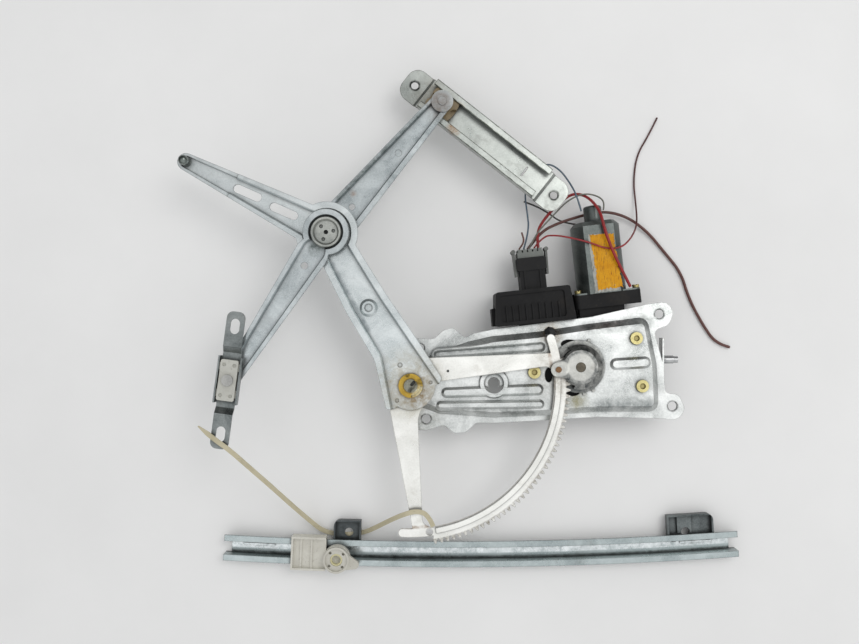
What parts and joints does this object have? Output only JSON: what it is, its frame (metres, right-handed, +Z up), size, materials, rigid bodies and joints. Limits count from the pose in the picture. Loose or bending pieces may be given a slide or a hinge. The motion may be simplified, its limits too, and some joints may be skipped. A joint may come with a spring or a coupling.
{
  "type": "window regulator",
  "caption": "Double-arm electric window regulator with sector gear, geared motor, guide rail, glass bracket and a bowed lift rail with its slider, laid out flat.",
  "frame": {"origin": "on the bench, under the middle of the box round the assembly without its wires and tie", "axes": "+Z up from the bench, +X towards the motor end of the mounting plate, +Y towards the motor nose and guide rail"},
  "size_m": [0.5765, 0.5211, 0.082],
  "materials": {
    "zinc_plate": "bright zinc, worn",
    "grey_steel": "grey steel",
    "gold_zinc": "yellow zinc plated",
    "black_plastic": "black glass-filled nylon",
    "can_steel": "dark zinc drawn steel",
    "cream_plastic": "natural acetal",
    "brown_plastic": "greasy brown acetal",
    "grey_rubber": "grey silicone",
    "magnet_black": "ferrite",
    "copper": "enamelled copper",
    "core_steel": "laminated steel",
    "bearing_bronze": "sintered bronze",
    "gear_steel": "hardened steel",
    "wire_red": "red pvc",
    "wire_brown": "brown pvc",
    "wire_black": "black pvc",
    "wire_grey": "grey pvc",
    "wire_blue": "faded blue pvc",
    "tie_nylon": "aged nylon",
    "dark_steel": "dark phosphated steel"
  },
  "bodies": {
    "plate": {"mounting_plate": "zinc_plate", "locating_peg": "dark_steel", "pivot_stud": "grey_steel", "pivot_ring": "gold_zinc", "gearbox_housing": "black_plastic", "gearbox_lid": "black_plastic", "gearbox_screws": "gold_zinc", "pinion_cover": "grey_steel", "guide_button": "grey_steel", "motor_can": "can_steel", "motor_screws": "gold_zinc", "motor_magnets": "magnet_black", "motor_bearings": "bearing_bronze", "brush_card": "brown_plastic", "control_module": "black_plastic", "connector_socket": "black_plastic", "connector_plug": "black_plastic", "connector_seal": "grey_rubber", "connector_levers": "grey_rubber", "wire_red": "wire_red", "wire_brown": "wire_brown", "wire_thin_red": "wire_red", "wire_grey": "wire_grey", "wire_blue": "wire_blue", "wire_black": "wire_black", "wire_stub": "wire_brown", "armature_shaft": "gear_steel", "armature_core": "core_steel", "armature_winding": "copper", "commutator": "copper"},
    "output": {"drive_pinion": "gear_steel", "worm_wheel": "cream_plastic"},
    "drive_arm": {"sector_gear": "zinc_plate", "drive_arm": "zinc_plate", "ball_stud": "gear_steel"},
    "cross_arm": {"cross_arm_upper": "zinc_plate", "cross_arm_lower": "zinc_plate", "hub_rivet": "grey_steel", "guide_pin": "grey_steel", "bracket_pin": "grey_steel"},
    "roller": {"guide_roller": "brown_plastic"},
    "guide": {"guide_rail": "zinc_plate"},
    "block": {"slide_block": "cream_plastic"},
    "bracket": {"glass_bracket": "dark_steel"},
    "lift_rail": {"lift_rail": "zinc_plate", "left_bracket": "dark_steel", "right_bracket": "dark_steel", "bracket_rivets": "grey_steel", "cable_tie": "tie_nylon"},
    "slider": {"rail_slider": "cream_plastic", "socket_ring": "cream_plastic"},
    "catch": {"socket_lever": "cream_plastic"}
  },
  "joints": [
    {"name": "drive_arm_turn", "type": "hinge", "parent": "plate", "child": "drive_arm", "pos_m": [-0.0565, -0.0622, 0.055], "axis": [0, 0, 1], "range_deg": [-1, 80], "deforming": ["cable_tie"]},
    {"name": "pinion_spin", "type": "hinge", "parent": "plate", "child": "output", "pos_m": [0.11251, -0.04384, 0.05], "axis": [0, 0, 1], "range_deg": [-1170, 30]},
    {"name": "cross_arm_turn", "type": "hinge", "parent": "drive_arm", "child": "cross_arm", "pos_m": [-0.13958, 0.08955, 0.06], "axis": [0, 0, 1], "range_deg": [0, 100]},
    {"name": "guide_roller_turn", "type": "hinge", "parent": "cross_arm", "child": "roller", "pos_m": [-0.0249, 0.2224, 0.04], "axis": [0, 0, 1], "range_deg": [0, 50]},
    {"name": "guide_rail_slide", "type": "slide", "parent": "roller", "child": "guide", "axis": [-0.7848, 0.6198, 0], "range_m": [0, 0.1]},
    {"name": "block_turn", "type": "hinge", "parent": "cross_arm", "child": "block", "pos_m": [-0.2338, -0.05554, 0.077], "axis": [0, 0, 1], "range_deg": [-30, 30]},
    {"name": "bracket_slide", "type": "slide", "parent": "block", "child": "bracket", "axis": [0.134, 0.991, 0], "range_m": [-0.0025, 0.0025]},
    {"name": "lift_rail_layoff", "type": "slide", "parent": "plate", "child": "lift_rail", "axis": [0, -1, 0], "range_m": [0, 0.12]},
    {"name": "slider_travel", "type": "hinge", "parent": "lift_rail", "child": "slider", "pos_m": [-0.01177, 3.8064, 0.015], "axis": [0, 0, 1], "range_deg": [-0.9, 0]},
    {"name": "catch_turn", "type": "hinge", "parent": "slider", "child": "catch", "pos_m": [-0.1348, -0.2465, 0.023], "axis": [0, 0, 1], "range_deg": [-20, 60]}
  ],
  "couplings": [
    {"joint": "pinion_spin", "follows": "drive_arm_turn", "ratio": -14.455}
  ]
}
